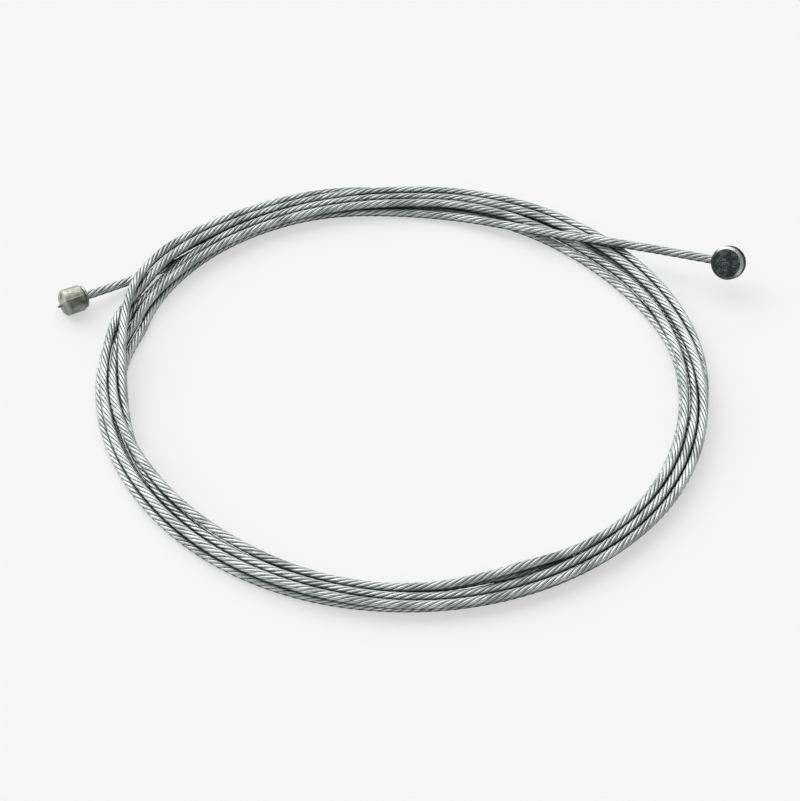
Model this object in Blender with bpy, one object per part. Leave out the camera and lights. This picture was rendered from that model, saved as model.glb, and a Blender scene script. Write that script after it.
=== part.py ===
"""Shift cable: one long stranded inner cable lying in a loose coil, with a
short barrel head cast on one end and a small cylinder head on the other.

Metres, +Z up. The coil lies flat on the floor, its hole centred above the
origin. The route is worked out in millimetres and turned into metres when
the meshes are made.
"""
import bpy
import bmesh
import numpy as np
from math import radians, cos, sin, tan, pi

for old in list(bpy.data.objects):
    bpy.data.objects.remove(old, do_unlink=True)

# the cable (mm)
COIL_R = 47.6            # floor plan of the coil, to the middle of the bundle
CABLE_D = 1.5            # whole strand, across its crowns
CABLE_RINGS = 700        # rings along the CAD tube
STEP = 1.25              # spacing of the points that settle
TURN_GAP = 0.10          # air kept between turns while they settle

# the short barrel head (mm)
BARREL_D = 5.7
BARREL_W = 2.6           # length along its own axis
BARREL_CHAMFER = 0.44
BARREL_HOLE_DEPTH = 4.3  # how far the strand goes in, from the rim
BARREL_FACE = (-0.333, -0.761, 0.556)   # way its front face looks

# the cylinder head (mm)
HEAD_D = 4.5
HEAD_L = 4.0
HEAD_CHAMFER = 0.30
HEAD_NECK_D = 3.3        # groove behind the shoulder
HEAD_COLLAR_D = 3.8
HEAD_GROOVE_W = 0.30
HEAD_COLLAR_W = 0.40
HEAD_HOLE_DEPTH = 3.2

HOLE_GAP = 0.05          # strand to the wall of the hole it is cast in
END_GAP = 0.05           # strand's cut end to the bottom of the hole
STRAIGHT = 5.0           # the strand runs straight into each head
ROUND = 48               # facets round a head

# Route. Each turn is a list of places (degrees, offset, height): degrees go
# clockwise from the left, offset is from the middle of the bundle, height is
# that of the strand's centre. Turns lie on the floor or in the hollow between
# two others, and now and then one climbs over the rest. BUNDLE says how far the
# bundle itself wanders from COIL_R.
LOW, UP = CABLE_D / 2, 2.1
LANES = {"outer": (1.6, LOW), "middle": (0.0, LOW), "inner": (-1.6, LOW),
         "inmost": (-3.2, LOW), "up_out": (0.8, UP), "up_in": (-0.8, UP),
         "edge_in": (-2.4, UP), "edge_out": (2.4, UP)}
BUNDLE = [(0, .2), (15, .7), (30, .8), (45, .9), (60, .2), (75, 0), (90, -.7),
          (105, -.7), (120, -.3), (135, .2), (150, .5), (165, .6), (180, .3),
          (195, .2), (210, .6), (225, .5), (240, .1), (255, -.3), (270, -.7),
          (285, -1.1), (300, -.9), (315, -.9), (330, -1.0), (345, -.6), (360, .2)]

# from the cylinder head in under the bundle (degrees, offset from COIL_R, height)
LEAD_IN = [(19.15, 11.5, 2.36), (21.6, 9.4, 2.39), (23.45, 7.95, 2.32),
           (25.7, 6.65, 1.85), (28.5, 5.4, 1.15), (31.1, 4.1, LOW)]
# out over the bundle to the barrel head, which stands clear of the floor
LEAD_OUT = [(118.5, -4.2, 2.2), (123.6, -4.1, 3.2), (128.1, -3.1, 3.7),
            (132.3, -1.8, 3.9), (136.1, -.1, 3.9), (139.5, 1.8, 3.9),
            (144.2, 4.9, 4.0), (150.0, 9.3, 4.6), (152.8, 11.9, 5.0),
            (155.9, 14.6, 5.5)]
TURNS = [
    [(38, .3, LOW), (48, "middle"), (60, "middle"), (75, "middle"),
     (90, "inner"), (105, "inner"), (120, -2.4, LOW), (135, "inmost"),
     (150, "inmost"), (165, "inner"), (180, "inner"), (210, "inner"),
     (232, "inner"), (246, -1.1, LOW), (258, -.4, LOW), (270, "middle"),
     (300, "middle"), (330, "middle"), (345, "middle")],
    [(0, "middle"), (15, -1.0, 1.2), (25, -1.8, 1.9), (35, -2.2, UP),
     (45, "edge_in"), (60, "edge_in"), (75, "edge_in"), (90, "edge_in"),
     (105, "up_in"), (120, -1.4, 1.6), (135, "inner"), (150, "inner"),
     (165, -2.0, UP), (180, -1.2, UP), (195, "up_in"), (210, "up_in"),
     (232, "up_in"), (246, -.9, 2.8), (258, -.8, 2.9), (270, "up_in"),
     (285, -1.2, 2.3), (300, -1.7, 2.9), (315, -1.8, 3.1), (330, -1.4, 3.4),
     (345, -.9, 3.5), (352, -.9, 3.0)],
    [(0, -1.0, UP), (15, -.3, 2.3), (30, -.5, 2.4), (45, "up_in"),
     (60, "up_in"), (75, "up_in"), (90, "up_in"), (105, "up_out"),
     (120, "up_out"), (135, .2, UP), (150, .2, UP), (165, .2, UP),
     (180, 1.2, 2.4), (192, 2.0, 2.2), (210, "edge_out"), (240, "edge_out"),
     (270, "edge_out"), (285, 2.0, UP), (300, 1.2, UP), (315, "up_out"),
     (330, "up_out"), (345, "up_out")],
    [(0, .6, UP), (15, .9, UP), (30, .9, 3.3), (45, "up_out"),
     (60, "up_out"), (75, "up_out"), (90, "up_out"), (105, "edge_out"),
     (120, "edge_out"), (135, 1.8, UP), (150, 1.8, 2.0), (165, 1.7, 1.8),
     (180, 1.7, .9), (192, "outer"), (210, "outer"), (240, "outer"),
     (270, "outer"), (300, "outer"), (330, "outer"), (345, "outer")],
    [(0, "outer"), (15, "outer"), (30, 1.4, UP), (45, "outer"),
     (60, "outer"), (75, "outer"), (88, .3, LOW), (105, "middle"),
     (120, "middle"), (135, "middle"), (150, "middle"), (165, .1, LOW),
     (178, .1, 1.2), (190, .5, 1.9), (200, "up_out"), (225, "up_out"),
     (240, "up_out"), (255, "up_out"), (270, "up_out"), (285, .4, UP),
     (300, -.3, UP), (315, -.7, UP), (330, -.9, UP), (345, -1.7, UP),
     (352, -2.3, UP)],
    [(0, -2.7, UP), (8, -2.0, 2.9), (15, -.8, 3.7), (22, 1.0, 3.9),
     (30, 2.4, 3.4), (37, 2.8, 2.4), (45, "edge_out"), (60, "edge_out"),
     (75, 2.2, 2.0), (85, 1.9, 1.2), (95, "outer"), (105, "outer"),
     (120, "outer"), (135, "outer"), (150, "outer"), (165, "outer"),
     (178, .9, LOW), (190, "middle"), (210, "middle"), (232, "middle"),
     (246, -.9, 1.7), (258, -1.9, 1.7), (270, "inner"), (300, "inner"),
     (330, "inner"), (345, "inner")],
    [(0, "inner"), (15, -2.0, LOW), (30, -2.2, LOW), (45, "inner"),
     (60, "inner"), (75, "inner"), (85, -2.6, LOW), (95, "inmost"),
     (105, -3.2, .9)],
]


def route_points():
    """Every place of the route in one list: (degrees, radius, height)."""
    places = list(LEAD_IN)
    for turn, stops in enumerate(TURNS):
        for stop in stops:
            off, z = LANES[stop[1]] if isinstance(stop[1], str) else stop[1:]
            places.append((stop[0] + 360 * turn, np.interp(stop[0], *zip(*BUNDLE)) + off, z))
    whole = 360 * (len(TURNS) - 1)
    places += [(a + whole, off, z) for a, off, z in LEAD_OUT]
    return np.array(places) + (0, COIL_R, 0)


def smooth_curve(places, per_gap=40):
    """A soft curve through the places, as x, y, z."""
    gap = np.diff(places, axis=0)
    rate = gap / gap[:, :1]
    slope = np.vstack([rate[:1], (rate[:-1] * gap[1:, :1] + rate[1:] * gap[:-1, :1])
                       / (gap[1:, :1] + gap[:-1, :1]), rate[-1:]])
    t = np.linspace(0, 1, per_gap, endpoint=False)[:, None]
    out = []
    for i, g in enumerate(gap[:, 0]):
        out.append((2 * t**3 - 3 * t**2 + 1) * places[i] + (t**3 - 2 * t**2 + t) * slope[i] * g
                   + (3 * t**2 - 2 * t**3) * places[i + 1] + (t**3 - t**2) * slope[i + 1] * g)
    polar = np.vstack(out + [places[-1:]])
    a = np.radians(polar[:, 0])
    return np.stack([-polar[:, 1] * np.cos(a), polar[:, 1] * np.sin(a), polar[:, 2]], 1)


def even_steps(points, count):
    """The same line with its points evenly spaced."""
    run = np.concatenate([[0], np.cumsum(np.linalg.norm(np.diff(points, axis=0), axis=1))])
    at = np.linspace(0, run[-1], count)
    return np.stack([np.interp(at, run, points[:, k]) for k in range(3)], 1)


def line_length(points):
    return float(np.linalg.norm(np.diff(points, axis=0), axis=1).sum())


def soften(values, amount, times):
    for _ in range(times):
        pull = np.zeros_like(values)
        pull[1:-1] = 0.5 * (values[:-2] + values[2:]) - values[1:-1]
        values = values + amount * pull
    return values


def ease_bends(points, times=40):
    """Round off the lane changes: a springy cable has no kinks."""
    a = np.unwrap(np.arctan2(points[:, 1], -points[:, 0]))
    r, z = np.hypot(points[:, 0], points[:, 1]), points[:, 2]
    n = np.arange(len(points))
    free = np.clip(np.minimum(n, n[::-1]) * STEP / 25, 0, 1)
    for _ in range(times):
        r = r + (soften(r, 0.9, 1) - r) * free
        z = z + (soften(z, 0.9, 1) - z) * free
    return np.stack([-r * np.cos(a), r * np.sin(a), z], 1)


def settle(guide, rounds=500):
    """Let the turns sink and push each other apart until they lie together."""
    p, n, reach = guide.copy(), len(guide), CABLE_D + TURN_GAP
    held = int(STRAIGHT / STEP) + 2          # both heads stay where they are
    first, second = np.triu_indices(n, int(12 / STEP))
    ends = np.arange(n)
    free = np.clip(np.minimum(ends, ends[::-1]) * STEP / 40, 0, 1)
    for k in range(rounds):
        if k % 10 == 0:
            near = ((p[first] - p[second])**2).sum(1) < (2.6 * CABLE_D)**2
            i, j = first[near], second[near]
        late = k > rounds * 0.75
        p[:, :2] += (0.04 if late else 0.25) * (guide[:, :2] - p[:, :2])
        if not late:
            p[:, 2] -= 0.03 * free
        ease = 0.3 if late else 0.6
        p[:, :2] = guide[:, :2] + soften(p[:, :2] - guide[:, :2], ease, 2)
        p[:, 2] = soften(p[:, 2], ease, 2)
        for _ in range(2):
            along = np.gradient(p, axis=0)
            along /= np.linalg.norm(along, axis=1)[:, None]
            d, t = p[i] - p[j], along[j]
            s = (d * t).sum(1)
            side = d - s[:, None] * t
            dist = np.linalg.norm(side, axis=1) + 1e-9
            hit = (np.abs(s) < 0.75 * STEP) & (dist < reach)
            push = (0.5 * (reach - dist) / dist * hit)[:, None] * side
            move, met = np.zeros_like(p), np.zeros(n)
            np.add.at(move, i, push)
            np.add.at(move, j, -push)
            np.add.at(met, i, hit)
            np.add.at(met, j, hit)
            p = p + 1.3 * move / np.maximum(met, 1)[:, None]
            p[:, 2] = np.maximum(p[:, 2], LOW)
        p[:held], p[-held:] = guide[:held], guide[-held:]
    return p


def straighten(points, reach=STRAIGHT):
    """Straighten the last few millimetres at the first point."""
    out = points.copy()
    k = int(round(reach / STEP))
    way = points[0] - points[k + 2]
    way /= np.linalg.norm(way)
    for m in range(k + 1):
        out[m] = points[k + 1] + way * STEP * (k + 1 - m)
    return out, way


def cable_route():
    soft = smooth_curve(route_points())
    soft = even_steps(soft, int(round(line_length(soft) / STEP)) + 1)
    lying = settle(ease_bends(soft))
    lying, way_in = straighten(lying)
    back, way_out = straighten(lying[::-1])
    return back[::-1], way_in, way_out


def turned(name, profile, centre, axis, up=(0, 0, 1)):
    """Solid of revolution from (radius, along) pairs, in millimetres."""
    axis = np.array(axis, float) / np.linalg.norm(axis)
    side = np.cross(up, axis)
    side /= np.linalg.norm(side)
    top = np.cross(axis, side)
    bm = bmesh.new()
    rings = []
    for r, along in profile:
        base = np.array(centre) + axis * along
        if r < 1e-6:
            rings.append([bm.verts.new(base / 1000)])
            continue
        rings.append([bm.verts.new((base + r * (side * cos(2 * pi * k / ROUND)
                                                + top * sin(2 * pi * k / ROUND))) / 1000)
                      for k in range(ROUND)])
    for a, b in zip(rings, rings[1:]):
        for k in range(ROUND):
            m = (k + 1) % ROUND
            if len(a) == 1:
                bm.faces.new((a[0], b[m], b[k]))
            elif len(b) == 1:
                bm.faces.new((a[k], a[m], b[0]))
            else:
                bm.faces.new((a[k], a[m], b[m], b[k]))
    bmesh.ops.recalc_face_normals(bm, faces=bm.faces)
    mesh = bpy.data.meshes.new(name)
    bm.to_mesh(mesh)
    bm.free()
    obj = bpy.data.objects.new(name, mesh)
    bpy.context.collection.objects.link(obj)
    return obj


def bake(obj):
    """Turn curve or modifiers into a plain mesh."""
    graph = bpy.context.evaluated_depsgraph_get()
    mesh = bpy.data.meshes.new_from_object(obj.evaluated_get(graph))
    fresh = bpy.data.objects.new(obj.name, mesh)
    bpy.context.collection.objects.link(fresh)
    name = obj.name
    bpy.data.objects.remove(obj, do_unlink=True)
    fresh.name = name
    return fresh


def metal(obj, colour, rough):
    mat = bpy.data.materials.new(obj.name)
    mat.use_nodes = True
    shader = mat.node_tree.nodes["Principled BSDF"]
    shader.inputs["Base Color"].default_value = (*colour, 1)
    shader.inputs["Metallic"].default_value = 1.0
    shader.inputs["Roughness"].default_value = rough
    obj.data.materials.clear()
    obj.data.materials.append(mat)


def shade(obj, angle=35):
    for face in obj.data.polygons:
        face.use_smooth = True
    obj.data.set_sharp_from_angle(angle=radians(angle))


line, way_in, way_out = cable_route()

# the strand's two ends sit at the bottoms of the heads' holes
cable_start, cable_end = line[0], line[-1]
print("settled cable length mm", round(line_length(line), 1))

# cable
rings = even_steps(line, CABLE_RINGS)
curve = bpy.data.curves.new("cable", "CURVE")
curve.dimensions = "3D"
curve.resolution_u = 1
curve.render_resolution_u = 0
curve.bevel_depth = CABLE_D / 2 / 1000
curve.bevel_resolution = 2
curve.use_fill_caps = True
strip = curve.splines.new("POLY")
strip.points.add(len(rings) - 1)
for spot, p in zip(strip.points, rings):
    spot.co = (*(p / 1000), 1)
cable = bpy.data.objects.new("cable", curve)
bpy.context.collection.objects.link(cable)
cable = bake(cable)
bm = bmesh.new()
bm.from_mesh(cable.data)
bmesh.ops.remove_doubles(bm, verts=bm.verts, dist=0.00001)
bmesh.ops.recalc_face_normals(bm, faces=bm.faces)
bm.to_mesh(cable.data)
bm.free()

# cylinder head, turned round the strand: its profile runs over the outside
# from the closed end and back down the hole
R, L, HOLE_R = HEAD_D / 2, HEAD_L, CABLE_D / 2 + HOLE_GAP
shoulder = L - HEAD_GROOVE_W - HEAD_COLLAR_W
floor_z = L - HEAD_HOLE_DEPTH
head_profile = [(0, 0), (R - HEAD_CHAMFER, 0), (R, HEAD_CHAMFER), (R, shoulder),
                (HEAD_NECK_D / 2, shoulder), (HEAD_NECK_D / 2, L - HEAD_COLLAR_W),
                (HEAD_COLLAR_D / 2, L - HEAD_COLLAR_W), (HEAD_COLLAR_D / 2, L),
                (HOLE_R, L), (HOLE_R, floor_z), (0, floor_z)]
head_tip = cable_start + way_in * (END_GAP + floor_z)
head = turned("cylinder_head", head_profile, head_tip, -way_in)

# short barrel head, its round axis across the strand
face = np.array(BARREL_FACE)
face -= way_out * face.dot(way_out)
face /= np.linalg.norm(face)
W, RB, C = BARREL_W / 2, BARREL_D / 2, BARREL_CHAMFER
barrel_centre = cable_end + way_out * (END_GAP + RB - BARREL_HOLE_DEPTH)
barrel = turned("barrel_head", [(0, -W), (RB - C, -W), (RB, C - W), (RB, W - C),
                                (RB - C, W), (0, W)], barrel_centre, face)
drill = turned("drill", [(0, -RB - 1), (HOLE_R, -RB - 1), (HOLE_R, BARREL_HOLE_DEPTH - RB),
                         (0, BARREL_HOLE_DEPTH - RB)], barrel_centre, way_out)
cut = barrel.modifiers.new("hole", "BOOLEAN")
cut.operation, cut.solver, cut.object = "DIFFERENCE", "EXACT", drill
barrel = bake(barrel)
bpy.data.objects.remove(drill, do_unlink=True)

metal(cable, (0.46, 0.48, 0.46), 0.35)
metal(head, (0.40, 0.41, 0.38), 0.50)
metal(barrel, (0.33, 0.35, 0.33), 0.50)
for obj in (cable, head, barrel):
    shade(obj)

# centre of the box over the floor goes to the origin
low = np.min([[v.co[k] for k in range(3)] for o in (cable, head, barrel) for v in o.data.vertices], 0)
high = np.max([[v.co[k] for k in range(3)] for o in (cable, head, barrel) for v in o.data.vertices], 0)
shift = np.array([(low[0] + high[0]) / 2, (low[1] + high[1]) / 2, low[2]])
for obj in (cable, head, barrel):
    for v in obj.data.vertices:
        v.co = np.array(v.co) - shift
    obj.data.update()

print("shift mm", (shift * 1000).round(4).tolist(), "size mm", ((high - low) * 1000).round(2).tolist())
for name, spot, way in (("barrel_front", barrel_centre + face * W, face),
                        ("barrel_back", barrel_centre - face * W, -face),
                        ("head_end", head_tip, way_in)):
    print("mount", name, (spot / 1000 - shift).round(7).tolist(), way.round(6).tolist())
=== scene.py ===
# %% [markdown]
# # Looks for a coiled shift cable
# The cable is one springy steel strand with a cast head on each end. The frame
# from the CAD gives a plain round tube for the strand and a plain turned solid
# for each head. This script lays real wires along the same line, gives both
# heads the skin of a zinc casting, and sets up a floor, light and a camera.

# %% Load the frame
import bpy
import numpy as np
from math import cos, pi, radians, sin
from mathutils import Matrix, Vector


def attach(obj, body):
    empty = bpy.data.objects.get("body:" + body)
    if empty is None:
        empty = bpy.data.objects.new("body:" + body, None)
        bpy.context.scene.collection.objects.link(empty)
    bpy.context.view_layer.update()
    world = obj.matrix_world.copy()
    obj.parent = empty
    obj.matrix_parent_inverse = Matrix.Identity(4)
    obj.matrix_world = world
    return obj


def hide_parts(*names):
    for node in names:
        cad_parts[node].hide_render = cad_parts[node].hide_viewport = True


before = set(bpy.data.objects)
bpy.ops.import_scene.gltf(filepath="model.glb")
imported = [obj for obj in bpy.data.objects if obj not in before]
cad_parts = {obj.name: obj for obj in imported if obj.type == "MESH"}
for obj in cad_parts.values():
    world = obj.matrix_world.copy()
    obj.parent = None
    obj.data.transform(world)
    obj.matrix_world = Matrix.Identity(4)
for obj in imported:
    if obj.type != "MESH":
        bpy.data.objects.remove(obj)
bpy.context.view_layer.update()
for thing in bpy.context.selected_objects:
    thing.select_set(False)
MM = 0.001
print("nodes:", sorted(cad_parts))

# %% [markdown]
# ## Camera
# The coil is seen from its front, 44 degrees above the floor, from half a metre
# away. It comes first, because everything else is judged through it. The coil
# is round, so how flat it looks tells the angle, and how much smaller its far
# side looks tells the distance.

# %% Camera
VIEW_UP = radians(44)
VIEW_DISTANCE = 0.520
AIM = Vector((-0.0004256, -0.0019551, 0.0))   # on the floor, at the middle of the picture
SENSOR = 36.0                                 # millimetres wide
FRAME_WIDTH_AT_AIM = 0.13115                  # metres of the scene across the picture

camera_data = bpy.data.cameras.new("camera")
camera = bpy.data.objects.new("camera", camera_data)
bpy.context.collection.objects.link(camera)
camera.location = AIM + VIEW_DISTANCE * Vector((0, -cos(VIEW_UP), sin(VIEW_UP)))
camera.rotation_euler = (pi / 2 - VIEW_UP, 0, 0)
camera_data.sensor_fit = "HORIZONTAL"
camera_data.sensor_width = SENSOR
camera_data.lens = SENSOR * VIEW_DISTANCE / FRAME_WIDTH_AT_AIM
camera_data.clip_start = 0.01
bpy.context.scene.camera = camera
print("camera lens mm", round(camera_data.lens, 1))

# %% [markdown]
# ## Where the cable lies
# A coil made by hand is never a neat spiral: the turns wander, dive under each
# other and climb across. The route is a list of given places, read through a
# soft curve. Then the turns are let sink and push each other apart, so that each
# one lies on the floor or in the hollow between two others. These are the places
# and steps of the CAD, so the wires follow its tube.

# %% Sizes of the cable and its route
COIL_R = 47.6            # millimetres, as all the route's sizes are
CABLE_D = 1.5
STEP = 1.25              # between two points of the settled line
TURN_GAP = 0.10          # air that is left between two turns
STRAIGHT = 5.0           # length of the straight end at each head
BOX_SHIFT = np.array((0.4256, -0.1049, 0.0))   # puts the box's middle over the origin

# A height is that of the strand's middle: LOW on the floor, UP on other turns.
LOW = CABLE_D / 2
UP = 2.1

# A lane is how far out from the bundle's middle a turn runs, and at what height.
LANES = {"outer": (1.6, LOW), "middle": (0.0, LOW), "inner": (-1.6, LOW),
         "inmost": (-3.2, LOW), "up_out": (0.8, UP), "up_in": (-0.8, UP),
         "edge_in": (-2.4, UP), "edge_out": (2.4, UP)}

# The bundle's middle by degrees round the coil, as a distance out from COIL_R.
BUNDLE = [(0, .2), (15, .7), (30, .8), (45, .9), (60, .2), (75, 0), (90, -.7),
          (105, -.7), (120, -.3), (135, .2), (150, .5), (165, .6), (180, .3),
          (195, .2), (210, .6), (225, .5), (240, .1), (255, -.3), (270, -.7),
          (285, -1.1), (300, -.9), (315, -.9), (330, -1.0), (345, -.6), (360, .2)]

# The two free ends: degrees, distance out from COIL_R, height.
LEAD_IN = [(19.15, 11.5, 2.36), (21.6, 9.4, 2.39), (23.45, 7.95, 2.32),
           (25.7, 6.65, 1.85), (28.5, 5.4, 1.15), (31.1, 4.1, LOW)]
LEAD_OUT = [(118.5, -4.2, 2.2), (123.6, -4.1, 3.2), (128.1, -3.1, 3.7),
            (132.3, -1.8, 3.9), (136.1, -.1, 3.9), (139.5, 1.8, 3.9),
            (144.2, 4.9, 4.0), (150.0, 9.3, 4.6), (152.8, 11.9, 5.0),
            (155.9, 14.6, 5.5)]

# The turns: degrees, and then a lane, or a distance out and a height of its own.
TURNS = [
    [(38, .3, LOW), (48, "middle"), (60, "middle"), (75, "middle"),
     (90, "inner"), (105, "inner"), (120, -2.4, LOW), (135, "inmost"),
     (150, "inmost"), (165, "inner"), (180, "inner"), (210, "inner"),
     (232, "inner"), (246, -1.1, LOW), (258, -.4, LOW), (270, "middle"),
     (300, "middle"), (330, "middle"), (345, "middle")],
    [(0, "middle"), (15, -1.0, 1.2), (25, -1.8, 1.9), (35, -2.2, UP),
     (45, "edge_in"), (60, "edge_in"), (75, "edge_in"), (90, "edge_in"),
     (105, "up_in"), (120, -1.4, 1.6), (135, "inner"), (150, "inner"),
     (165, -2.0, UP), (180, -1.2, UP), (195, "up_in"), (210, "up_in"),
     (232, "up_in"), (246, -.9, 2.8), (258, -.8, 2.9), (270, "up_in"),
     (285, -1.2, 2.3), (300, -1.7, 2.9), (315, -1.8, 3.1), (330, -1.4, 3.4),
     (345, -.9, 3.5), (352, -.9, 3.0)],
    [(0, -1.0, UP), (15, -.3, 2.3), (30, -.5, 2.4), (45, "up_in"),
     (60, "up_in"), (75, "up_in"), (90, "up_in"), (105, "up_out"),
     (120, "up_out"), (135, .2, UP), (150, .2, UP), (165, .2, UP),
     (180, 1.2, 2.4), (192, 2.0, 2.2), (210, "edge_out"), (240, "edge_out"),
     (270, "edge_out"), (285, 2.0, UP), (300, 1.2, UP), (315, "up_out"),
     (330, "up_out"), (345, "up_out")],
    [(0, .6, UP), (15, .9, UP), (30, .9, 3.3), (45, "up_out"),
     (60, "up_out"), (75, "up_out"), (90, "up_out"), (105, "edge_out"),
     (120, "edge_out"), (135, 1.8, UP), (150, 1.8, 2.0), (165, 1.7, 1.8),
     (180, 1.7, .9), (192, "outer"), (210, "outer"), (240, "outer"),
     (270, "outer"), (300, "outer"), (330, "outer"), (345, "outer")],
    [(0, "outer"), (15, "outer"), (30, 1.4, UP), (45, "outer"),
     (60, "outer"), (75, "outer"), (88, .3, LOW), (105, "middle"),
     (120, "middle"), (135, "middle"), (150, "middle"), (165, .1, LOW),
     (178, .1, 1.2), (190, .5, 1.9), (200, "up_out"), (225, "up_out"),
     (240, "up_out"), (255, "up_out"), (270, "up_out"), (285, .4, UP),
     (300, -.3, UP), (315, -.7, UP), (330, -.9, UP), (345, -1.7, UP),
     (352, -2.3, UP)],
    [(0, -2.7, UP), (8, -2.0, 2.9), (15, -.8, 3.7), (22, 1.0, 3.9),
     (30, 2.4, 3.4), (37, 2.8, 2.4), (45, "edge_out"), (60, "edge_out"),
     (75, 2.2, 2.0), (85, 1.9, 1.2), (95, "outer"), (105, "outer"),
     (120, "outer"), (135, "outer"), (150, "outer"), (165, "outer"),
     (178, .9, LOW), (190, "middle"), (210, "middle"), (232, "middle"),
     (246, -.9, 1.7), (258, -1.9, 1.7), (270, "inner"), (300, "inner"),
     (330, "inner"), (345, "inner")],
    [(0, "inner"), (15, -2.0, LOW), (30, -2.2, LOW), (45, "inner"),
     (60, "inner"), (75, "inner"), (85, -2.6, LOW), (95, "inmost"),
     (105, -3.2, .9)],
]


# %% Read the route through a soft curve
def route_points():
    """Every place of the route in one list: (degrees, radius, height)."""
    places = list(LEAD_IN)
    for turn, stops in enumerate(TURNS):
        for stop in stops:
            off, z = LANES[stop[1]] if isinstance(stop[1], str) else stop[1:]
            places.append((stop[0] + 360 * turn, np.interp(stop[0], *zip(*BUNDLE)) + off, z))
    whole = 360 * (len(TURNS) - 1)
    places += [(a + whole, off, z) for a, off, z in LEAD_OUT]
    return np.array(places) + (0, COIL_R, 0)


def smooth_curve(places, per_gap=40):
    """A soft curve through the places, as x, y, z."""
    gap = np.diff(places, axis=0)
    rate = gap / gap[:, :1]
    slope = np.vstack([rate[:1], (rate[:-1] * gap[1:, :1] + rate[1:] * gap[:-1, :1])
                       / (gap[1:, :1] + gap[:-1, :1]), rate[-1:]])
    t = np.linspace(0, 1, per_gap, endpoint=False)[:, None]
    out = []
    for i, g in enumerate(gap[:, 0]):
        out.append((2 * t**3 - 3 * t**2 + 1) * places[i] + (t**3 - 2 * t**2 + t) * slope[i] * g
                   + (3 * t**2 - 2 * t**3) * places[i + 1] + (t**3 - t**2) * slope[i + 1] * g)
    polar = np.vstack(out + [places[-1:]])
    a = np.radians(polar[:, 0])
    return np.stack([-polar[:, 1] * np.cos(a), polar[:, 1] * np.sin(a), polar[:, 2]], 1)


def line_length(points):
    return float(np.linalg.norm(np.diff(points, axis=0), axis=1).sum())


def even_steps(points, count):
    """The same line with its points evenly spaced."""
    run = np.concatenate([[0], np.cumsum(np.linalg.norm(np.diff(points, axis=0), axis=1))])
    at = np.linspace(0, run[-1], count)
    return np.stack([np.interp(at, run, points[:, k]) for k in range(3)], 1)


def soften(values, amount, times):
    """Pull every value towards the mean of its two neighbours."""
    for _ in range(times):
        pull = np.zeros_like(values)
        pull[1:-1] = 0.5 * (values[:-2] + values[2:]) - values[1:-1]
        values = values + amount * pull
    return values


BENDS_FREE = 25.0        # millimetres from a head until its bends are fully eased


def ease_bends(points, times=40):
    """Round off the lane changes: a springy cable has no kinks."""
    a = np.unwrap(np.arctan2(points[:, 1], -points[:, 0]))
    r, z = np.hypot(points[:, 0], points[:, 1]), points[:, 2]
    n = np.arange(len(points))
    free = np.clip(np.minimum(n, n[::-1]) * STEP / BENDS_FREE, 0, 1)
    for _ in range(times):
        r = r + (soften(r, 0.9, 1) - r) * free
        z = z + (soften(z, 0.9, 1) - z) * free
    return np.stack([-r * np.cos(a), r * np.sin(a), z], 1)


soft = smooth_curve(route_points())
soft = ease_bends(even_steps(soft, int(round(line_length(soft) / STEP)) + 1))
print("route before it settles: points", len(soft), "length mm", round(line_length(soft), 1))


# %% Let the turns settle
ROUNDS = 500
LATE = 0.75              # share of the rounds after which nothing sinks any more
SINK = 0.03              # millimetres a round
SAME_TURN = 12.0         # millimetres along within which points leave each other alone
SINK_FREE = 40.0         # millimetres from a head until the strand sinks fully
REACH = CABLE_D + TURN_GAP
LOOK_ROUND = 2.6 * CABLE_D   # how far off another turn is still watched


def settle(guide, rounds=ROUNDS):
    """Let the turns sink and push each other apart until they lie together."""
    p = guide.copy()
    n = len(guide)
    held = int(STRAIGHT / STEP) + 2          # both heads stay where they are
    first, second = np.triu_indices(n, int(SAME_TURN / STEP))
    ends = np.arange(n)
    free = np.clip(np.minimum(ends, ends[::-1]) * STEP / SINK_FREE, 0, 1)
    for k in range(rounds):
        if k % 10 == 0:
            near = ((p[first] - p[second])**2).sum(1) < LOOK_ROUND**2
            i, j = first[near], second[near]
        late = k > rounds * LATE
        p[:, :2] += (0.04 if late else 0.25) * (guide[:, :2] - p[:, :2])
        if not late:
            p[:, 2] -= SINK * free
        ease = 0.3 if late else 0.6
        p[:, :2] = guide[:, :2] + soften(p[:, :2] - guide[:, :2], ease, 2)
        p[:, 2] = soften(p[:, 2], ease, 2)
        for _ in range(2):
            along = np.gradient(p, axis=0)
            along /= np.linalg.norm(along, axis=1)[:, None]
            d = p[i] - p[j]
            t = along[j]
            s = (d * t).sum(1)
            side = d - s[:, None] * t
            dist = np.linalg.norm(side, axis=1) + 1e-9
            hit = (np.abs(s) < 0.75 * STEP) & (dist < REACH)
            push = (0.5 * (REACH - dist) / dist * hit)[:, None] * side
            move = np.zeros_like(p)
            met = np.zeros(n)
            np.add.at(move, i, push)
            np.add.at(move, j, -push)
            np.add.at(met, i, hit)
            np.add.at(met, j, hit)
            p = p + 1.3 * move / np.maximum(met, 1)[:, None]
            p[:, 2] = np.maximum(p[:, 2], LOW)
        p[:held], p[-held:] = guide[:held], guide[-held:]
    return p


def straighten(points, reach=STRAIGHT):
    """Straighten the last few millimetres at the first point."""
    out = points.copy()
    k = int(round(reach / STEP))
    way = points[0] - points[k + 2]
    way /= np.linalg.norm(way)
    for m in range(k + 1):
        out[m] = points[k + 1] + way * STEP * (k + 1 - m)
    return out, way


lying, way_in = straighten(settle(soft))
back, way_out = straighten(lying[::-1])
line = back[::-1]
CABLE_LENGTH = line_length(line)
print("cable length mm", round(CABLE_LENGTH, 1), "highest mm", round(line[:, 2].max(), 1))
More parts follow.
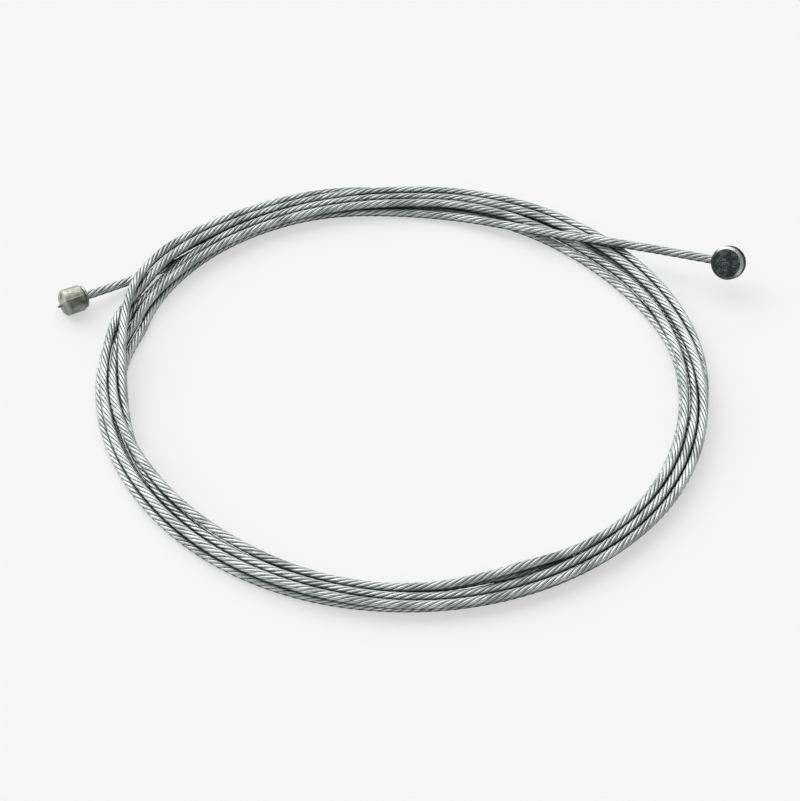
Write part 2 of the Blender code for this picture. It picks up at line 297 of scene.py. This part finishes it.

# %% [markdown]
# ## Wires of the strand
# The strand has seven wires: one in the middle and six laid round it, which show
# as slanting dashes. Its outline is nearly smooth, as on a strand that was drawn
# through a die, which presses the wires a little flat. The six are made one by
# one, as flattened tubes that wind to the left along the settled line, each
# beside the next. A wire could be a curve with a bevel, but a mesh made ring by
# ring can also keep, at every point, how far out of the groove it stands and
# which way it faces, and the finish uses those for painted shade and a trace of grease.

# %% Directions along the line
OUTER_WIRES = 6
WIRE_WIDE = 0.51
WIRE_HIGH = 0.39
WINDING_R = CABLE_D / 2 - WIRE_HIGH / 2   # from the strand's middle to that of an outer wire
LAY = 8.9                                 # millimetres along for one turn
CORNERS = np.radians((0, 48, 98, 180, 262, 312))   # round a wire, from its crown
WIRE_SIDES = len(CORNERS)
WIRE_RINGS = 2650
CORE_D = 0.66
CORE_RINGS = 400


def carried_frames(points):
    """At each point: the way along, and two ways across that never twist."""
    along = np.gradient(points, axis=0)
    along /= np.linalg.norm(along, axis=1)[:, None]
    across = np.zeros_like(points)
    across[0] = np.cross(along[0], (0, 0, 1))
    across[0] /= np.linalg.norm(across[0])
    for k in range(1, len(points)):
        v = across[k - 1] - along[k] * np.dot(across[k - 1], along[k])
        across[k] = v / np.linalg.norm(v)
    return along, across, np.cross(along, across)


rings = even_steps(line, WIRE_RINGS)
along, across, upward = carried_frames(rings)
run = np.linspace(0, CABLE_LENGTH, WIRE_RINGS)


# %% Wind the wires
def tube(points, outward, sideways, high, wide):
    """Rings of a tube, high outwards and wide sideways: the crown is outwards."""
    ring = (high / 2 * np.cos(CORNERS)[None, :, None] * outward[:, None, :]
            + wide / 2 * np.sin(CORNERS)[None, :, None] * sideways[:, None, :])
    return points[:, None, :] + ring, np.cos(CORNERS)


def tube_faces(rings_count, sides, first):
    """Quads between rings, and one face to close each end."""
    ring = np.arange(rings_count - 1)[:, None] * sides
    k = np.arange(sides)[None, :]
    m = (k + 1) % sides
    quads = np.stack([ring + k, ring + m, ring + sides + m, ring + sides + k], -1)
    quads = (quads.reshape(-1, 4) + first).tolist()
    last = first + (rings_count - 1) * sides
    return quads + [list(range(first + sides - 1, first - 1, -1)),
                    list(range(last, last + sides))]


verts, faces, crown, lift, place_on_wire = [], [], [], [], []
count = 0
for wire in range(OUTER_WIRES):
    turn = 2 * pi * (wire / OUTER_WIRES - run / LAY)
    out_way = np.cos(turn)[:, None] * across + np.sin(turn)[:, None] * upward
    middle = rings + WINDING_R * out_way
    way = np.gradient(middle, axis=0)
    way /= np.linalg.norm(way, axis=1)[:, None]
    side_way = np.cross(way, out_way)
    side_way /= np.linalg.norm(side_way, axis=1)[:, None]
    points, height = tube(middle, out_way, side_way, WIRE_HIGH, WIRE_WIDE)
    verts.append(points.reshape(-1, 3))
    faces += tube_faces(WIRE_RINGS, WIRE_SIDES, count)
    crown.append(np.tile(height, WIRE_RINGS))
    lift.append((points[:, :, 2] - rings[:, None, 2]).ravel() / (CABLE_D / 2))
    place = np.zeros((WIRE_RINGS, WIRE_SIDES, 2))
    place[:, :, 0] = wire + np.arange(WIRE_SIDES)[None, :] / (2 * WIRE_SIDES)
    place[:, :, 1] = run[:, None]
    place_on_wire.append(place.reshape(-1, 2))
    count += WIRE_RINGS * WIRE_SIDES

core_line = even_steps(line, CORE_RINGS)
core_along, core_across, core_up = carried_frames(core_line)
points, height = tube(core_line, core_across, core_up, CORE_D, CORE_D)
verts.append(points.reshape(-1, 3))
faces += tube_faces(CORE_RINGS, WIRE_SIDES, count)
crown.append(np.full(CORE_RINGS * WIRE_SIDES, -1.0))
lift.append(np.zeros(CORE_RINGS * WIRE_SIDES))
place_on_wire.append(np.zeros((CORE_RINGS * WIRE_SIDES, 2)))

# %% [markdown]
# Where two turns nearly touch, the wires see little light, and the finish paints that shade on
# them. So each point also keeps how far it is from the nearest other turn.

# %% Room between the turns
NEXT_TURN = 40.0         # millimetres along before it counts as another turn
NEAR = CABLE_D * 1.6     # between two middles: further off, a turn doesn't count
NEARLY_TOUCHING = 0.2


def room_round(ring_points, centre_line, step):
    """Air from each point of each ring to the surface of the nearest other turn."""
    room = np.full(ring_points.shape[:2], CABLE_D)
    apart = int(NEXT_TURN / step)
    order = np.arange(len(centre_line))
    for k, centre in enumerate(centre_line):
        gap = np.abs(centre_line - centre).max(1)
        others = centre_line[(gap < NEAR) & (np.abs(order - k) > apart)]
        if len(others):
            away = np.linalg.norm(ring_points[k][:, None] - others[None], axis=2).min(1)
            room[k] = away - CABLE_D / 2
    return room


strand_points = np.stack([v.reshape(WIRE_RINGS, WIRE_SIDES, 3) for v in verts[:OUTER_WIRES]], 1)
room = room_round(strand_points.reshape(WIRE_RINGS, -1, 3), rings, CABLE_LENGTH / WIRE_RINGS)
room = room.reshape(WIRE_RINGS, OUTER_WIRES, WIRE_SIDES).transpose(1, 0, 2).ravel()
room = np.concatenate([room, np.zeros(CORE_RINGS * WIRE_SIDES)])
print("points that nearly touch another turn:", int((room < NEARLY_TOUCHING).sum()))

# %% Make the strand
verts = (np.vstack(verts) - BOX_SHIFT) * MM
strand_mesh = bpy.data.meshes.new("cable_strand")
strand_mesh.from_pydata(verts.tolist(), [], faces)
strand_mesh.polygons.foreach_set("use_smooth", [True] * len(strand_mesh.polygons))


def keep(mesh, label, values):
    """Keep a number at every point of a mesh, for its finish."""
    mark = mesh.attributes.new(label, "FLOAT", "POINT")
    mark.data.foreach_set("value", values)


keep(strand_mesh, "crown", np.concatenate(crown))
keep(strand_mesh, "lift", np.concatenate(lift))
keep(strand_mesh, "room", room)
uv = strand_mesh.uv_layers.new(name="UVMap")
corner_vert = np.zeros(len(strand_mesh.loops), int)
strand_mesh.loops.foreach_get("vertex_index", corner_vert)
uv.data.foreach_set("uv", np.vstack(place_on_wire)[corner_vert].ravel())
strand_mesh.update()
strand = bpy.data.objects.new("cable_strand", strand_mesh)
bpy.context.collection.objects.link(strand)
print("wires", OUTER_WIRES, "faces", len(faces))

# %% [markdown]
# ## Cast heads
# Both heads are zinc, cast straight onto the end of the strand. The mould
# leaves a skin with soft edges and small dents, which a plain turned solid
# lacks. Each head is a cylinder shaped in edit mode, melted into an even skin
# by a voxel remesh, dented by a Displace modifier, and then moved to the end of
# the strand.

# %% Sizes of the heads
BARREL_D = 5.7           # millimetres, as all the heads' sizes are
BARREL_W = 2.6
BARREL_CHAMFER = 0.44
BARREL_HOLE_DEPTH = 4.3
BARREL_FACE = (-0.333, -0.761, 0.556)
HIGHLIGHT_WAY = (0.64, 0.0, 0.77)           # its bevel gets a painted highlight on this side
HEAD_D = 4.5
HEAD_L = 4.0
HEAD_CHAMFER = 0.30
HEAD_NECK_D = 3.3
HEAD_COLLAR_D = 3.8
HEAD_GROOVE_W = 0.30
HEAD_COLLAR_W = 0.40
HEAD_HOLE_DEPTH = 3.2
HOLE_GAP = 0.05
END_GAP = 0.05
RIDGE_W = 0.16           # flash along the parting line of the mould
RIDGE_SUNK = 0.03        # of its middle, below the side of the head
STUB_R = 0.28            # left where the metal ran in
STUB_LENGTH = 0.7
STUB_AT = (-1.45, -1.2, 0)
SCAR_R = 0.24
SCAR_LENGTH = 1.1
SCAR_AT = (0.75, -0.9, -0.02)
PIT_DEPTH = 0.15         # of the scar, for its painted shade
PIT_REACH = 0.4          # how far in from the end face the scar's painted shade is sought
PARTING = radians(41)    # where that line is, from the top towards the front
ROUND = 96
SKIN = 0.055             # size of a face of the cast skin


# %% Helpers for shaping
def cylinder(name, radius, depth, at=(0, 0, 0), turned=(0, 0, 0)):
    """A cylinder, worked at a thousand times its size and alone in the selection."""
    bpy.ops.object.select_all(action="DESELECT")
    bpy.ops.mesh.primitive_cylinder_add(vertices=ROUND, radius=radius, depth=depth,
                                        location=at, rotation=turned)
    made = bpy.context.object
    made.name = name
    bpy.ops.object.transform_apply(location=True, rotation=True, scale=True)
    return made


def block(name, size, at):
    """A box, worked as the cylinder is."""
    bpy.ops.object.select_all(action="DESELECT")
    bpy.ops.mesh.primitive_cube_add(size=1, location=at, scale=size)
    made = bpy.context.object
    made.name = name
    bpy.ops.object.transform_apply(location=True, rotation=True, scale=True)
    return made


def bevel_rims(obj, width, heights):
    """Bevel the rims that lie at these heights along Z, one after the other."""
    for height in heights:
        bpy.ops.object.mode_set(mode="EDIT")
        bpy.ops.mesh.select_mode(type="EDGE")
        bpy.ops.mesh.select_all(action="DESELECT")
        bpy.ops.object.mode_set(mode="OBJECT")
        for edge in obj.data.edges:
            ends = [obj.data.vertices[v].co.z for v in edge.vertices]
            edge.select = all(abs(z - height) < 1e-4 for z in ends)
        bpy.ops.object.mode_set(mode="EDIT")
        bpy.ops.mesh.bevel(offset=width, segments=1, affect="EDGES")
        bpy.ops.object.mode_set(mode="OBJECT")


def boolean(obj, tool, how):
    """Join the tool to the piece or cut it out, and then remove the tool."""
    bpy.context.view_layer.objects.active = obj
    step = obj.modifiers.new(how.lower(), "BOOLEAN")
    step.operation = how
    step.solver = "EXACT"
    step.object = tool
    bpy.ops.object.modifier_apply(modifier=step.name)
    bpy.data.objects.remove(tool, do_unlink=True)


def cast_skin(obj, dent, dent_size, seed_shift):
    """Melt the piece into one even skin and dent it a little."""
    bpy.context.view_layer.objects.active = obj
    step = obj.modifiers.new("skin", "REMESH")
    step.mode = "VOXEL"
    step.voxel_size = SKIN
    step.use_smooth_shade = True
    bpy.ops.object.modifier_apply(modifier=step.name)
    step = obj.modifiers.new("even", "SMOOTH")
    step.factor = 0.5
    step.iterations = 2
    bpy.ops.object.modifier_apply(modifier=step.name)
    clouds = bpy.data.textures.new(obj.name, "CLOUDS")
    clouds.noise_scale = dent_size
    clouds.noise_depth = 2
    obj.data.transform(Matrix.Translation(Vector((seed_shift, 0, 0))))
    step = obj.modifiers.new("dents", "DISPLACE")
    step.texture = clouds
    step.strength = dent
    step.mid_level = 0.5
    step.texture_coords = "LOCAL"
    bpy.ops.object.modifier_apply(modifier=step.name)
    obj.data.transform(Matrix.Translation(Vector((-seed_shift, 0, 0))))


def put(obj, centre, axis, towards):
    """Bring the mesh to its real size and place: its Z goes along axis."""
    z = Vector(axis).normalized()
    x = Vector(towards) - z * Vector(towards).dot(z)
    x.normalize()
    y = z.cross(x)
    spot = Vector((np.array(centre) - BOX_SHIFT) * MM)
    turn = Matrix((x, y, z)).transposed().to_4x4()
    obj.data.transform(Matrix.Translation(spot) @ turn @ Matrix.Scale(MM, 4))
    obj.data.update()


# %% [markdown]
# The short barrel head is a disc with a bevel round each face, and the strand
# goes in across it, through the rim. A turned profile would give the same form,
# but a cylinder with bevelled rims and a drilled hole shows how it is thought.
# Each point keeps where it is on the bevel, on a face, towards the front and
# towards the side of the painted highlight, because each of these is coloured in its own way.

# %% Short barrel head
face_way = np.array(BARREL_FACE)
face_way -= way_out * face_way.dot(way_out)
face_way /= np.linalg.norm(face_way)
barrel_centre = line[-1] + way_out * (END_GAP + BARREL_D / 2 - BARREL_HOLE_DEPTH)

barrel = cylinder("barrel_casting", BARREL_D / 2, BARREL_W)
bevel_rims(barrel, BARREL_CHAMFER, (-BARREL_W / 2, BARREL_W / 2))
hole_from = -BARREL_D / 2 - 1
hole_to = BARREL_HOLE_DEPTH - BARREL_D / 2
drill = cylinder("drill", CABLE_D / 2 + HOLE_GAP, hole_to - hole_from,
                 at=((hole_from + hole_to) / 2, 0, 0), turned=(0, pi / 2, 0))
boolean(barrel, drill, "DIFFERENCE")
cast_skin(barrel, dent=0.03, dent_size=0.7, seed_shift=3)
spots = np.array([v.co for v in barrel.data.vertices])
radius = np.hypot(spots[:, 0], spots[:, 1])
over_rim = (radius - BARREL_D / 2) / BARREL_CHAMFER + 1
over_face = (np.abs(spots[:, 2]) - BARREL_W / 2) / BARREL_CHAMFER + 1
keep(barrel.data, "bevel", over_rim + over_face)
keep(barrel.data, "face", np.where(over_rim < 0.1, over_face, 0))
keep(barrel.data, "front", spots[:, 2] / (BARREL_W / 2))
put(barrel, barrel_centre, face_way, way_out)
spots = np.array([v.co for v in barrel.data.vertices]) / MM + BOX_SHIFT - barrel_centre
# How far each point lies towards the side of the painted highlight.
keep(barrel.data, "painted_highlight", spots @ HIGHLIGHT_WAY / (BARREL_D / 2))
print("barrel head faces", len(barrel.data.polygons))

# %% [markdown]
# The small head is a cylinder on the line of the strand. It has a shoulder, a
# groove and a thin collar where the strand goes in. The two halves of the mould
# left a thin ridge along each side. At the far end, the stub where the metal ran
# in was snapped off, which leaves a lump and a short scar on the face. Each of
# these is a simple solid joined on or cut out before the skin is made, so the
# skin rounds them all as a casting would. The half above the ridges is painted
# lighter as painted light, the half below darker as painted shade, and the
# hollow of the scar dark as painted shade.

# %% Small cylinder head
shoulder = HEAD_L - HEAD_GROOVE_W - HEAD_COLLAR_W
head_floor = HEAD_L - HEAD_HOLE_DEPTH
head_tip = line[0] + way_in * (END_GAP + head_floor)

head = cylinder("head_casting", HEAD_D / 2, shoulder, at=(0, 0, shoulder / 2))
bevel_rims(head, HEAD_CHAMFER, (0,))
neck = cylinder("neck", HEAD_NECK_D / 2, HEAD_GROOVE_W + 0.2,
                at=(0, 0, shoulder + HEAD_GROOVE_W / 2))
boolean(head, neck, "UNION")
collar = cylinder("collar", HEAD_COLLAR_D / 2, HEAD_COLLAR_W,
                  at=(0, 0, HEAD_L - HEAD_COLLAR_W / 2))
boolean(head, collar, "UNION")
for side in (1, -1):
    ridge = block("ridge", (RIDGE_W, RIDGE_W, shoulder - 2 * HEAD_CHAMFER),
                  at=(side * (HEAD_D / 2 - RIDGE_SUNK), 0, shoulder / 2))
    ridge.data.transform(Matrix.Rotation(PARTING, 4, "Z"))
    boolean(head, ridge, "UNION")
stub = cylinder("stub", STUB_R, STUB_LENGTH, at=STUB_AT)
boolean(head, stub, "UNION")
scar = cylinder("scar", SCAR_R, SCAR_LENGTH, at=SCAR_AT, turned=(0, pi / 2, 0))
boolean(head, scar, "DIFFERENCE")
drill = cylinder("drill", CABLE_D / 2 + HOLE_GAP, HEAD_HOLE_DEPTH + 1,
                 at=(0, 0, head_floor + (HEAD_HOLE_DEPTH + 1) / 2))
boolean(head, drill, "DIFFERENCE")
cast_skin(head, dent=0.025, dent_size=0.8, seed_shift=8)
spots = np.array([v.co for v in head.data.vertices])
# Which side of the parting line each point is on, for the painted light and shade.
keep(head.data, "upper", spots[:, 0] * sin(PARTING) - spots[:, 1] * cos(PARTING))
# Depth into the scar on the end face, for its painted shade.
on_face = np.hypot(spots[:, 0], spots[:, 1]) < HEAD_D / 2 - HEAD_CHAMFER - 0.1
keep(head.data, "pit", np.where(on_face & (spots[:, 2] < PIT_REACH), spots[:, 2] / PIT_DEPTH, 0))
put(head, head_tip, -way_in, (0, 0, 1))
print("cylinder head faces", len(head.data.polygons))

# %% [markdown]
# ## Finishes
# All three metals share a bloom of dull oxide in soft patches and a fine grain.
# Both come from one node group, which gives two values that change over the
# surface, and each material decides what to do with them.


# %% Shared effects
def group(name, inputs, outputs):
    made = bpy.data.node_groups.new(name, "ShaderNodeTree")
    for label, kind, value in inputs:
        socket = made.interface.new_socket(label, in_out="INPUT", socket_type=kind)
        if value is not None:
            socket.default_value = value
    for label, kind in outputs:
        made.interface.new_socket(label, in_out="OUTPUT", socket_type=kind)
    return made, made.nodes.new("NodeGroupInput"), made.nodes.new("NodeGroupOutput")


def noise(tree, where, scale, detail=3.0, rough=0.55):
    node = tree.nodes.new("ShaderNodeTexNoise")
    node.inputs["Scale"].default_value = scale
    node.inputs["Detail"].default_value = detail
    node.inputs["Roughness"].default_value = rough
    tree.links.new(where, node.inputs["Vector"])
    return node.outputs["Fac"]


def remap(tree, value, low, high, to_low=0.0, to_high=1.0):
    node = tree.nodes.new("ShaderNodeMapRange")
    node.interpolation_type = "SMOOTHSTEP"
    for socket, number in zip(("From Min", "From Max", "To Min", "To Max"),
                              (low, high, to_low, to_high)):
        node.inputs[socket].default_value = number
    tree.links.new(value, node.inputs["Value"])
    return node.outputs["Result"]


def maths(tree, how, a, b):
    node = tree.nodes.new("ShaderNodeMath")
    node.operation = how
    for socket, item in zip(node.inputs, (a, b)):
        if isinstance(item, (int, float)):
            socket.default_value = item
        else:
            tree.links.new(item, socket)
    return node.outputs[0]


def blend(tree, mask, a, b):
    """Colour a where the mask is 0, colour b where it is 1."""
    node = tree.nodes.new("ShaderNodeMix")
    node.data_type = "RGBA"
    tree.links.new(mask, node.inputs["Factor"])
    for name, item in (("A", a), ("B", b)):
        socket = [s for s in node.inputs if s.name == name and s.type == "RGBA"][0]
        if isinstance(item, tuple):
            socket.default_value = (*item, 1)
        else:
            tree.links.new(item, socket)
    return [s for s in node.outputs if s.type == "RGBA"][0]


oxide, oxide_in, oxide_out = group(
    "oxide bloom",
    [("Position", "NodeSocketVector", None), ("Patches per metre", "NodeSocketFloat", 900.0)],
    [("Mask", "NodeSocketFloat"), ("Fine", "NodeSocketFloat")])
coarse = oxide.nodes.new("ShaderNodeTexNoise")
fine = oxide.nodes.new("ShaderNodeTexNoise")
coarse.inputs["Detail"].default_value = 4.0
fine.inputs["Detail"].default_value = 2.0
oxide.links.new(oxide_in.outputs["Position"], coarse.inputs["Vector"])
oxide.links.new(oxide_in.outputs["Position"], fine.inputs["Vector"])
oxide.links.new(oxide_in.outputs["Patches per metre"], coarse.inputs["Scale"])
finer = maths(oxide, "MULTIPLY", oxide_in.outputs["Patches per metre"], 5.0)
oxide.links.new(finer, fine.inputs["Scale"])
oxide.links.new(remap(oxide, coarse.outputs["Fac"], 0.38, 0.66), oxide_out.inputs["Mask"])
oxide.links.new(remap(oxide, fine.outputs["Fac"], 0.30, 0.70), oxide_out.inputs["Fine"])
print("node group made:", oxide.name)


# %% Start of every material
def new_metal(name):
    mat = bpy.data.materials.new(name)
    mat.use_nodes = True
    tree = mat.node_tree
    shader = tree.nodes["Principled BSDF"]
    shader.inputs["Metallic"].default_value = 1.0
    return mat, tree, shader


def object_place(tree):
    return tree.nodes.new("ShaderNodeTexCoord").outputs["Object"]


def attribute(tree, name):
    """A number that was kept on the mesh."""
    node = tree.nodes.new("ShaderNodeAttribute")
    node.attribute_name = name
    return node.outputs["Fac"]


def bloom(tree, where, patches):
    node = tree.nodes.new("ShaderNodeGroup")
    node.node_tree = oxide
    node.inputs["Patches per metre"].default_value = patches
    tree.links.new(where, node.inputs["Position"])
    return node.outputs["Mask"], node.outputs["Fine"]


def bump(tree, shader, height, distance, strength=1.0):
    node = tree.nodes.new("ShaderNodeBump")
    node.inputs["Distance"].default_value = distance
    node.inputs["Strength"].default_value = strength
    tree.links.new(height, node.inputs["Height"])
    tree.links.new(node.outputs["Normal"], shader.inputs["Normal"])


# %% [markdown]
# The wires are drawn steel with a bright zinc coat. Fine streaks run along each
# wire, and each differs a little from the next. A near-black colour, which isn't
# metallic, is painted as shade where two turns nearly touch and on the underside,
# and a trace of it in the grooves is partly grease and partly painted shade. The
# masks for it are the numbers kept on the mesh, so it stays in its place from every side.

# %% Bright wire
# Near-black colour for painted shade between turns and underneath, and for grease and painted
# shade in the grooves.
SHADE_AND_GREASE = (0.006, 0.008, 0.007)

wire_metal, tree, shader = new_metal("drawn wire")
place = object_place(tree)
patches, grain = bloom(tree, place, 260.0)
# Darker in the grooves between the wires: partly grease, partly painted shade.
groove_shade_and_grease = remap(tree, attribute(tree, "crown"), 0.30, -0.45)
# Painted shade where two turns nearly touch.
contact_shade = remap(tree, attribute(tree, "room"), 0.52, 0.16)
# Painted shade on the underside of the strand.
underside_shade = remap(tree, attribute(tree, "lift"), 0.20, -0.40)
wire_place = tree.nodes.new("ShaderNodeUVMap")
wire_place.uv_map = "UVMap"
stretch = tree.nodes.new("ShaderNodeMapping")
stretch.inputs["Scale"].default_value = (6.0, 0.35, 1.0)
tree.links.new(wire_place.outputs["UV"], stretch.inputs["Vector"])
streaks = noise(tree, stretch.outputs["Vector"], 1.0, 3.0)
clean = blend(tree, remap(tree, streaks, 0.3, 0.7), (0.55, 0.60, 0.58), (0.76, 0.80, 0.78))
dulled = blend(tree, maths(tree, "MULTIPLY", patches, 0.80), clean, (0.34, 0.38, 0.36))
# The three masks together: painted shade, with some grease in the grooves.
shade_and_grease = maths(tree, "MAXIMUM", maths(tree, "MULTIPLY", groove_shade_and_grease, 0.08),
             maths(tree, "MULTIPLY", contact_shade, 0.99))
shade_and_grease = maths(tree, "MAXIMUM", shade_and_grease, maths(tree, "MULTIPLY", underside_shade, 0.88))
colour = blend(tree, shade_and_grease, dulled, SHADE_AND_GREASE)
tree.links.new(colour, shader.inputs["Base Color"])
tree.links.new(maths(tree, "SUBTRACT", 1.0, shade_and_grease), shader.inputs["Metallic"])
shader.inputs["Specular IOR Level"].default_value = 0.1
tree.links.new(remap(tree, grain, 0.0, 1.0, 0.38, 0.52), shader.inputs["Roughness"])
bump(tree, shader, streaks, 0.00002, 0.3)
strand.data.materials.append(wire_metal)


# %% [markdown]
# Zinc comes out of the mould dull grey. The short head's flat faces are nearly
# black and mottled, its back is painted near black as painted shade, and its front
# bevel has a painted highlight at the upper right. The small head is warmer, painted
# lighter above the parting line as painted light and darker below it as painted shade.

# %% Cast zinc
def cast_metal(name, rough, grain_depth, mottle):
    mat, tree, shader = new_metal(name)
    patches, grain = bloom(tree, object_place(tree), mottle)
    tree.links.new(remap(tree, grain, 0.0, 1.0, rough - 0.08, rough + 0.08),
                   shader.inputs["Roughness"])
    bump(tree, shader, grain, grain_depth, 0.6)
    return mat, tree, shader, patches, grain


def paint(obj, mat):
    obj.data.materials.clear()
    obj.data.materials.append(mat)
    for face in obj.data.polygons:
        face.use_smooth = True


barrel_metal, tree, shader, patches, grain = cast_metal("cast zinc, dark", 0.36, 0.00005, 700.0)
shader.inputs["Specular Tint"].default_value = (0.35, 0.35, 0.35, 1)
skin = blend(tree, patches, (0.12, 0.135, 0.13), (0.07, 0.08, 0.076))
# Painted shade: the back of the head is painted near black.
skin = blend(tree, remap(tree, attribute(tree, "front"), 0.05, -0.55), skin, (0.02, 0.024, 0.022))
# Painted highlight: the front bevel is painted bright on the upper right side.
painted_highlight = maths(tree, "MULTIPLY", remap(tree, attribute(tree, "bevel"), 0.55, 0.90),
               remap(tree, attribute(tree, "painted_highlight"), -0.15, 0.35))
painted_highlight = maths(tree, "MULTIPLY", painted_highlight, remap(tree, attribute(tree, "front"), 0.3, 0.6))
bare = blend(tree, painted_highlight, skin, (0.50, 0.53, 0.51))
specks = maths(tree, "MULTIPLY", grain, maths(tree, "ADD", patches, 0.25))
darker_colour = blend(tree, remap(tree, specks, 0.15, 1.0), (0.045, 0.066, 0.062), (0.17, 0.22, 0.22))
colour = blend(tree, remap(tree, attribute(tree, "face"), 0.75, 0.95), bare, darker_colour)
tree.links.new(colour, shader.inputs["Base Color"])
paint(barrel, barrel_metal)

head_metal, tree, shader, patches, grain = cast_metal("cast zinc, warm", 0.38, 0.00003, 1000.0)
# Painted light and shade: the half above the parting line is painted lighter, the half below
# darker.
lit_half = blend(tree, patches, (0.52, 0.515, 0.43), (0.36, 0.36, 0.30))
darker_colour = blend(tree, patches, (0.30, 0.32, 0.29), (0.18, 0.19, 0.17))
colour = blend(tree, remap(tree, attribute(tree, "upper"), -0.05, 0.10), darker_colour, lit_half)
# Painted shade in the hollow of the scar.
colour = blend(tree, remap(tree, attribute(tree, "pit"), 0.15, 0.70), colour, (0.02, 0.022, 0.02))
tree.links.new(colour, shader.inputs["Base Color"])
paint(head, head_metal)
print("materials:", [m.name for m in bpy.data.materials])

# %% [markdown]
# ## Floor and light
# A pale floor under two soft boxes in a dim tent: the key high behind on the
# left, and a smaller one lower down on the left. The dim parts between them are
# what give round metal its contrast. The photograph shows an even white floor
# with hardly any shadow. So where the camera or a reflection looks at the floor,
# part of what it sees is the floor's own even white, and the shadow stays but is
# faint. More light would whiten the floor too, but would fall on the metal as well.

# %% Floor
FLOOR_WHITE = (0.93, 0.93, 0.93, 1)
OWN_WHITE = 0.6          # share of the floor's look that takes no shadow

bpy.ops.object.select_all(action="DESELECT")
bpy.ops.mesh.primitive_plane_add(size=6)
floor = bpy.context.object
floor.name = "floor"
floor_mat = bpy.data.materials.new("pale floor")
floor_mat.use_nodes = True
floor_tree = floor_mat.node_tree
floor_shader = floor_tree.nodes["Principled BSDF"]
floor_shader.inputs["Base Color"].default_value = FLOOR_WHITE
floor_shader.inputs["Roughness"].default_value = 0.9
floor_shader.inputs["Specular IOR Level"].default_value = 0.1
rays = floor_tree.nodes.new("ShaderNodeLightPath")
seen = maths(floor_tree, "MAXIMUM", rays.outputs["Is Camera Ray"], rays.outputs["Is Glossy Ray"])
seen = maths(floor_tree, "MAXIMUM", seen, rays.outputs["Is Transmission Ray"])
even = floor_tree.nodes.new("ShaderNodeEmission")
even.inputs["Color"].default_value = FLOOR_WHITE
floor_mix = floor_tree.nodes.new("ShaderNodeMixShader")
floor_tree.links.new(maths(floor_tree, "MULTIPLY", seen, OWN_WHITE), floor_mix.inputs["Fac"])
floor_tree.links.new(floor_shader.outputs["BSDF"], floor_mix.inputs[1])
floor_tree.links.new(even.outputs["Emission"], floor_mix.inputs[2])
floor_tree.links.new(floor_mix.outputs["Shader"],
                     floor_tree.nodes["Material Output"].inputs["Surface"])
floor.data.materials.append(floor_mat)

# %% Light
TENT_GLOW = 0.43         # of the dim tent, from every side

world = bpy.data.worlds.new("light tent")
bpy.context.scene.world = world
world.use_nodes = True
sky = world.node_tree
sky.nodes.clear()
sky_way = sky.nodes.new("ShaderNodeTexCoord")


def soft_box(way_to, edge, middle, strength):
    """A round patch of light: way_to it, and the cosines of its edge and middle."""
    aim = sky.nodes.new("ShaderNodeVectorMath")
    aim.operation = "DOT_PRODUCT"
    aim.inputs[1].default_value = Vector(way_to).normalized()
    sky.links.new(sky_way.outputs["Generated"], aim.inputs[0])
    return remap(sky, aim.outputs["Value"], edge, middle, 0.0, strength)


key = soft_box((-0.28, 0.60, 0.76), 0.73, 0.95, 1.80)
side = soft_box((-0.75, 0.40, 0.53), 0.80, 0.96, 1.45)
glow = maths(sky, "ADD", maths(sky, "ADD", key, side), TENT_GLOW)
lit = sky.nodes.new("ShaderNodeBackground")
sky.links.new(glow, lit.inputs["Strength"])
lit.inputs["Color"].default_value = (1, 1, 1, 1)
ends = sky.nodes.new("ShaderNodeOutputWorld")
sky.links.new(lit.outputs["Background"], ends.inputs["Surface"])
bpy.context.scene.view_settings.view_transform = "Standard"
print("floor and light ready")

# %% [markdown]
# ## Pieces on the body
# Every piece rides on the one body. The wires stand for the plain tube, and the
# castings for the plain heads.

# %% Ride and replace
for piece, node in ((strand, "cable"), (barrel, "barrel_head"), (head, "cylinder_head")):
    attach(piece, "root")
    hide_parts(node)

# %% Bring the scene up to date
bpy.context.view_layer.update()
